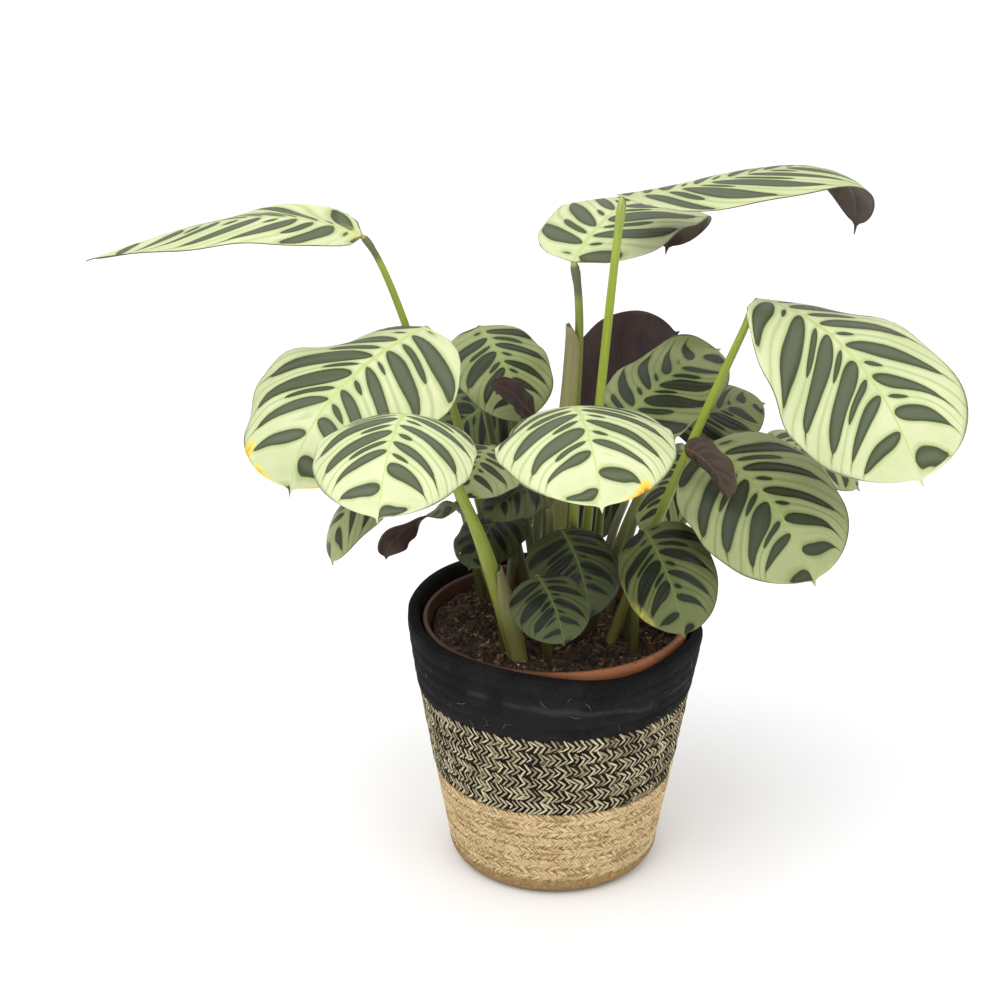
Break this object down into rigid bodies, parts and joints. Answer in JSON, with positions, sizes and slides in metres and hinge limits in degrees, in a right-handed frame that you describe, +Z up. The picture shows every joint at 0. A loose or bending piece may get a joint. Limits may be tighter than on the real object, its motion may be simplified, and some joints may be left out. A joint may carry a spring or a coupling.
{
  "type": "potted house plant",
  "caption": "Leafy calathea house plant with fishbone-striped leaves on tall stalks, in a plastic nursery pot inside a coiled basket in three colour bands.",
  "frame": {"origin": "centre of the basket's flat underside", "axes": "+Z up; +Y away from the viewer of the picture, so -Y is the front; +X to the picture's right"},
  "size_m": [0.4103, 0.258, 0.3464],
  "materials": {
    "black_fibre": "matte black dyed fibre braid",
    "mixed_fibre": "matte braid of straw-coloured and black fibre",
    "natural_fibre": "matte natural straw-coloured fibre",
    "terracotta_plastic": "matte terracotta-coloured plastic",
    "soil": "dark brown fibrous potting soil, fabric stands in",
    "leaf_blade": "satin leaf, fabric stands in",
    "leaf_stalk": "satin green stalk, fabric stands in",
    "leaf_sheath": "pale dry leaf sheath, fabric stands in"
  },
  "bodies": {
    "root": {"basket_black_band": "black_fibre", "basket_mixed_band": "mixed_fibre", "basket_natural_band": "natural_fibre", "nursery_pot": "terracotta_plastic", "soil": "soil", "leaf_01_blade": "leaf_blade", "leaf_01_stalk": "leaf_stalk", "leaf_02_blade": "leaf_blade", "leaf_02_stalk": "leaf_stalk", "leaf_03_blade": "leaf_blade", "leaf_03_stalk": "leaf_stalk", "leaf_04_blade": "leaf_blade", "leaf_04_stalk": "leaf_stalk", "leaf_05_blade": "leaf_blade", "leaf_05_stalk": "leaf_stalk", "leaf_06_blade": "leaf_blade", "leaf_06_stalk": "leaf_stalk", "leaf_07_blade": "leaf_blade", "leaf_07_stalk": "leaf_stalk", "leaf_08_blade": "leaf_blade", "leaf_08_stalk": "leaf_stalk", "leaf_09_blade": "leaf_blade", "leaf_09_stalk": "leaf_stalk", "leaf_10_blade": "leaf_blade", "leaf_10_stalk": "leaf_stalk", "leaf_11_blade": "leaf_blade", "leaf_11_stalk": "leaf_stalk", "leaf_12_blade": "leaf_blade", "leaf_12_stalk": "leaf_stalk", "leaf_13_blade": "leaf_blade", "leaf_13_stalk": "leaf_stalk", "leaf_14_blade": "leaf_blade", "leaf_14_stalk": "leaf_stalk", "leaf_15_blade": "leaf_blade", "leaf_15_stalk": "leaf_stalk", "leaf_16_blade": "leaf_blade", "leaf_16_stalk": "leaf_stalk", "leaf_17_blade": "leaf_blade", "leaf_17_stalk": "leaf_stalk", "leaf_18_blade": "leaf_blade", "leaf_18_stalk": "leaf_stalk", "leaf_19_blade": "leaf_blade", "leaf_19_stalk": "leaf_stalk", "leaf_20_blade": "leaf_blade", "leaf_20_stalk": "leaf_stalk", "leaf_21_blade": "leaf_blade", "leaf_21_stalk": "leaf_stalk", "leaf_22_blade": "leaf_blade", "leaf_22_stalk": "leaf_stalk", "leaf_23_blade": "leaf_blade", "leaf_23_stalk": "leaf_stalk", "leaf_24_blade": "leaf_blade", "leaf_24_stalk": "leaf_stalk", "leaf_25_blade": "leaf_blade", "leaf_25_stalk": "leaf_stalk", "leaf_26_blade": "leaf_blade", "leaf_26_stalk": "leaf_stalk", "leaf_03_sheath": "leaf_sheath", "leaf_10_sheath": "leaf_sheath"}
  },
  "joints": []
}
